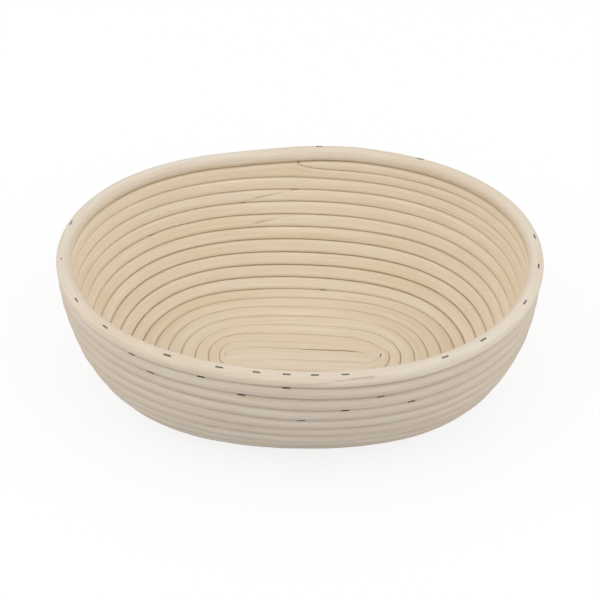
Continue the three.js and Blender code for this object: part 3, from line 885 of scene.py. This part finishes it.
class BASKET_OT_floor_cane(bpy.types.Operator):
    """Wind the first length of cane: the core, the floor and the lower wall"""
    bl_idname = "basket.floor_cane"
    bl_label = "Floor cane"

    def execute(self, context):
        size = sizes()
        piece = cane_mesh(
            "wound_floor_cane", TONGUE_TURN, FIRST_JOINT_TURN + FIRST_SCARF_TURNS / 2,
            course_cell(None, None, FIRST_JOINT_TURN, FIRST_SCARF_TURNS), size.cane_depth,
            (size.floor_flatness, size.inside_flatness), size.outside_flatness, FLOOR_SEED,
            bpy.data.materials["peeled_cane"])
        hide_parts("floor_cane")
        return {"FINISHED"}


class BASKET_OT_wall_cane(bpy.types.Operator):
    """Wind the second length of cane: the middle of the wall"""
    bl_idname = "basket.wall_cane"
    bl_label = "Wall cane"

    def execute(self, context):
        size = sizes()
        piece = cane_mesh(
            "wound_wall_cane", FIRST_JOINT_TURN - FIRST_SCARF_TURNS / 2,
            SECOND_JOINT_TURN + SECOND_SCARF_TURNS / 2,
            course_cell(FIRST_JOINT_TURN, FIRST_SCARF_TURNS,
                        SECOND_JOINT_TURN, SECOND_SCARF_TURNS),
            size.cane_depth, (size.inside_flatness, size.inside_flatness),
            size.outside_flatness, WALL_SEED,
            bpy.data.materials["peeled_cane"])
        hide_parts("wall_cane")
        return {"FINISHED"}


class BASKET_OT_top_cane(bpy.types.Operator):
    """Wind the last length of the wall, out to its whittled tail under the rim"""
    bl_idname = "basket.top_cane"
    bl_label = "Top cane"

    def execute(self, context):
        size = sizes()
        piece = cane_mesh(
            "wound_top_cane", SECOND_JOINT_TURN - SECOND_SCARF_TURNS / 2,
            TAIL_TURN - TAIL_STOP_TURNS,
            course_cell(SECOND_JOINT_TURN, SECOND_SCARF_TURNS, None, None), size.cane_depth,
            (size.inside_flatness, size.inside_flatness), size.outside_flatness, TOP_SEED,
            bpy.data.materials["peeled_cane"])
        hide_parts("top_cane")
        return {"FINISHED"}


class BASKET_OT_rim_cane(bpy.types.Operator):
    """Lay the thicker rim cane round the top, scarfed to itself at the front"""
    bl_idname = "basket.rim_cane"
    bl_label = "Rim cane"

    def execute(self, context):
        size = sizes()
        piece = cane_mesh(
            "laid_rim_cane", RIM_JOINT_TURN - RIM_SCARF_TURNS / 2,
            RIM_JOINT_TURN + 1 + RIM_SCARF_TURNS / 2, rim_cell, size.rim_cane, RIM_FLATNESS,
            RIM_OUTSIDE_FLATNESS, RIM_SEED,
            bpy.data.materials["peeled_rim_cane"])
        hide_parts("rim_cane")
        return {"FINISHED"}


class BASKET_OT_staples(bpy.types.Operator):
    """Drive the staples of the rim, the wall and the floor"""
    bl_idname = "basket.staples"
    bl_label = "Staples"

    def execute(self, context):
        outer = [course_staple_place(turn, OUTER_STAPLE_OUTSET) for turn in OUTER_STAPLE_TURNS]
        inner = [course_staple_place(turn, INNER_STAPLE_OUTSET) for turn in INNER_STAPLE_TURNS]
        covered = [course_staple_place(turn, 0) for turn in COVERED_STAPLE_TURNS]
        rim = [rim_staple_place(turn) for turn in RIM_STAPLE_TURNS]
        staple_piece("outer_staples", outer, numbered("outer_staple", len(outer)),
                     OUTER_STAPLE_STANDS)
        staple_piece("inner_staples", inner, numbered("inner_staple", len(inner)),
                     [0] * len(inner))
        staple_piece("covered_staples", covered, numbered("covered_staple", len(covered)),
                     [COVERED_STAPLE_STAND] * len(covered))
        staple_piece("rim_staples", rim, numbered("rim_staple", len(rim)),
                     [RIM_STAPLE_STAND] * len(rim))
        staple_piece("core_pin", [core_staple_place()], ["core_staple"], [0])
        return {"FINISHED"}


# The camera as it was fitted to the photograph, in the winding's own frame
VIEW_ELEVATION = math.radians(41.515)
VIEW_AZIMUTH = 0.0272
VIEW_ROLL = 0.0156
VIEW_DISTANCE = 1018.6
VIEW_TARGET = (-1.607, 0.0, 50.237)
VIEW_LENS = 101.734


def add_camera():
    """A camera at the photograph's angle: back from its target, turned and rolled a little."""
    size = sizes()
    foot_height = size.cane_depth / 2 - size.cane_depth * FOOT_CUT_SHARE
    target = np.array(VIEW_TARGET) + frame_shift() + [0, 0, foot_height]
    back = np.array([
        math.sin(VIEW_AZIMUTH) * math.cos(VIEW_ELEVATION),
        -math.cos(VIEW_AZIMUTH) * math.cos(VIEW_ELEVATION),
        math.sin(VIEW_ELEVATION),
    ])
    level = np.array([math.cos(VIEW_AZIMUTH), math.sin(VIEW_AZIMUTH), 0])
    above = np.cross(back, level)
    right = math.cos(VIEW_ROLL) * level + math.sin(VIEW_ROLL) * above
    up = -math.sin(VIEW_ROLL) * level + math.cos(VIEW_ROLL) * above
    lens = bpy.data.cameras.new("camera")
    lens.sensor_width = 36
    lens.lens = VIEW_LENS
    camera = bpy.data.objects.new("camera", lens)
    camera.matrix_world = Matrix((
        (right[0], up[0], back[0], (target[0] + back[0] * VIEW_DISTANCE) * MM),
        (right[1], up[1], back[1], (target[1] + back[1] * VIEW_DISTANCE) * MM),
        (right[2], up[2], back[2], (target[2] + back[2] * VIEW_DISTANCE) * MM),
        (0, 0, 0, 1),
    ))
    bpy.context.scene.collection.objects.link(camera)
    bpy.context.scene.camera = camera


def add_floor():
    """A white floor that keeps the basket's shadow and is lifted to white for the camera."""
    material, tree, surface = node_tree("white_floor")
    albedo = add_node(tree, "ShaderNodeMapRange")
    albedo.inputs["To Min"].default_value = FLOOR_BOUNCE
    albedo.inputs["To Max"].default_value = FLOOR_SEEN
    surface.inputs["Roughness"].default_value = 0.9
    path = add_node(tree, "ShaderNodeLightPath")
    glow = add_node(tree, "ShaderNodeEmission", Strength=1.0)
    seen = add_node(tree, "ShaderNodeMixShader")
    output = tree.nodes["Material Output"]
    share = add_node(tree, "ShaderNodeMath", operation="MULTIPLY")
    share.inputs[1].default_value = FLOOR_GLOW
    tree.links.new(path.outputs["Is Camera Ray"], albedo.inputs["Value"])
    tree.links.new(albedo.outputs["Result"], surface.inputs["Base Color"])
    tree.links.new(path.outputs["Is Camera Ray"], share.inputs[0])
    tree.links.new(share.outputs["Value"], seen.inputs["Fac"])
    tree.links.new(surface.outputs["BSDF"], seen.inputs[1])
    tree.links.new(glow.outputs["Emission"], seen.inputs[2])
    tree.links.new(seen.outputs["Shader"], output.inputs["Surface"])
    mesh = bpy.data.meshes.new("floor")
    reach = FLOOR_REACH
    corners = [(-reach, -reach, 0), (reach, -reach, 0), (reach, reach, 0), (-reach, reach, 0)]
    mesh.from_pydata(corners, [], [(0, 1, 2, 3)])
    mesh.materials.append(material)
    floor = bpy.data.objects.new("floor", mesh)
    bpy.context.scene.collection.objects.link(floor)


def add_lamp(name, place, watts):
    lamp = bpy.data.lights.new(name, "AREA")
    lamp.shape = "SQUARE"
    lamp.size = LAMP_SIDE
    lamp.energy = watts
    holder = bpy.data.objects.new(name, lamp)
    holder.location = place
    towards = Vector(LAMP_TARGET) - Vector(place)
    holder.rotation_euler = towards.to_track_quat("-Z", "Y").to_euler()
    bpy.context.scene.collection.objects.link(holder)


class BASKET_OT_stage(bpy.types.Operator):
    """Set up the floor, the soft light and the camera"""
    bl_idname = "basket.stage"
    bl_label = "Stage"

    def execute(self, context):
        add_floor()
        add_lamp("left_softbox", *LEFT_LAMP)
        add_lamp("right_softbox", *RIGHT_LAMP)
        world = bpy.data.worlds.new("studio")
        world.use_nodes = True
        world.node_tree.nodes["Background"].inputs["Color"].default_value = (1, 1, 1, 1)
        world.node_tree.nodes["Background"].inputs["Strength"].default_value = WORLD_STRENGTH
        context.scene.world = world
        context.scene.view_settings.view_transform = "Standard"
        add_camera()
        return {"FINISHED"}


OPERATORS = (
    BASKET_OT_finishes,
    BASKET_OT_floor_cane,
    BASKET_OT_wall_cane,
    BASKET_OT_top_cane,
    BASKET_OT_rim_cane,
    BASKET_OT_staples,
    BASKET_OT_stage,
)


class BASKET_PT_panel(bpy.types.Panel):
    """Lists the steps that make the basket"""
    bl_label = "Cane Basket"
    bl_idname = "BASKET_PT_panel"
    bl_space_type = "VIEW_3D"
    bl_region_type = "UI"
    bl_category = "Basket"

    def draw(self, context):
        for operator in OPERATORS:
            self.layout.operator(operator.bl_idname)


CLASSES = (BasketSizes, BasketColours, *OPERATORS, BASKET_PT_panel)


def register():
    for cls in CLASSES:
        bpy.utils.register_class(cls)
    bpy.types.Scene.basket_sizes = PointerProperty(type=BasketSizes)
    bpy.types.Scene.basket_colours = PointerProperty(type=BasketColours)


def unregister():
    del bpy.types.Scene.basket_colours
    del bpy.types.Scene.basket_sizes
    for cls in reversed(CLASSES):
        bpy.utils.unregister_class(cls)


def main():
    register()
    bpy.ops.basket.finishes()
    bpy.ops.basket.floor_cane()
    bpy.ops.basket.wall_cane()
    bpy.ops.basket.top_cane()
    bpy.ops.basket.rim_cane()
    bpy.ops.basket.staples()
    bpy.ops.basket.stage()


if __name__ == "__main__":
    main()
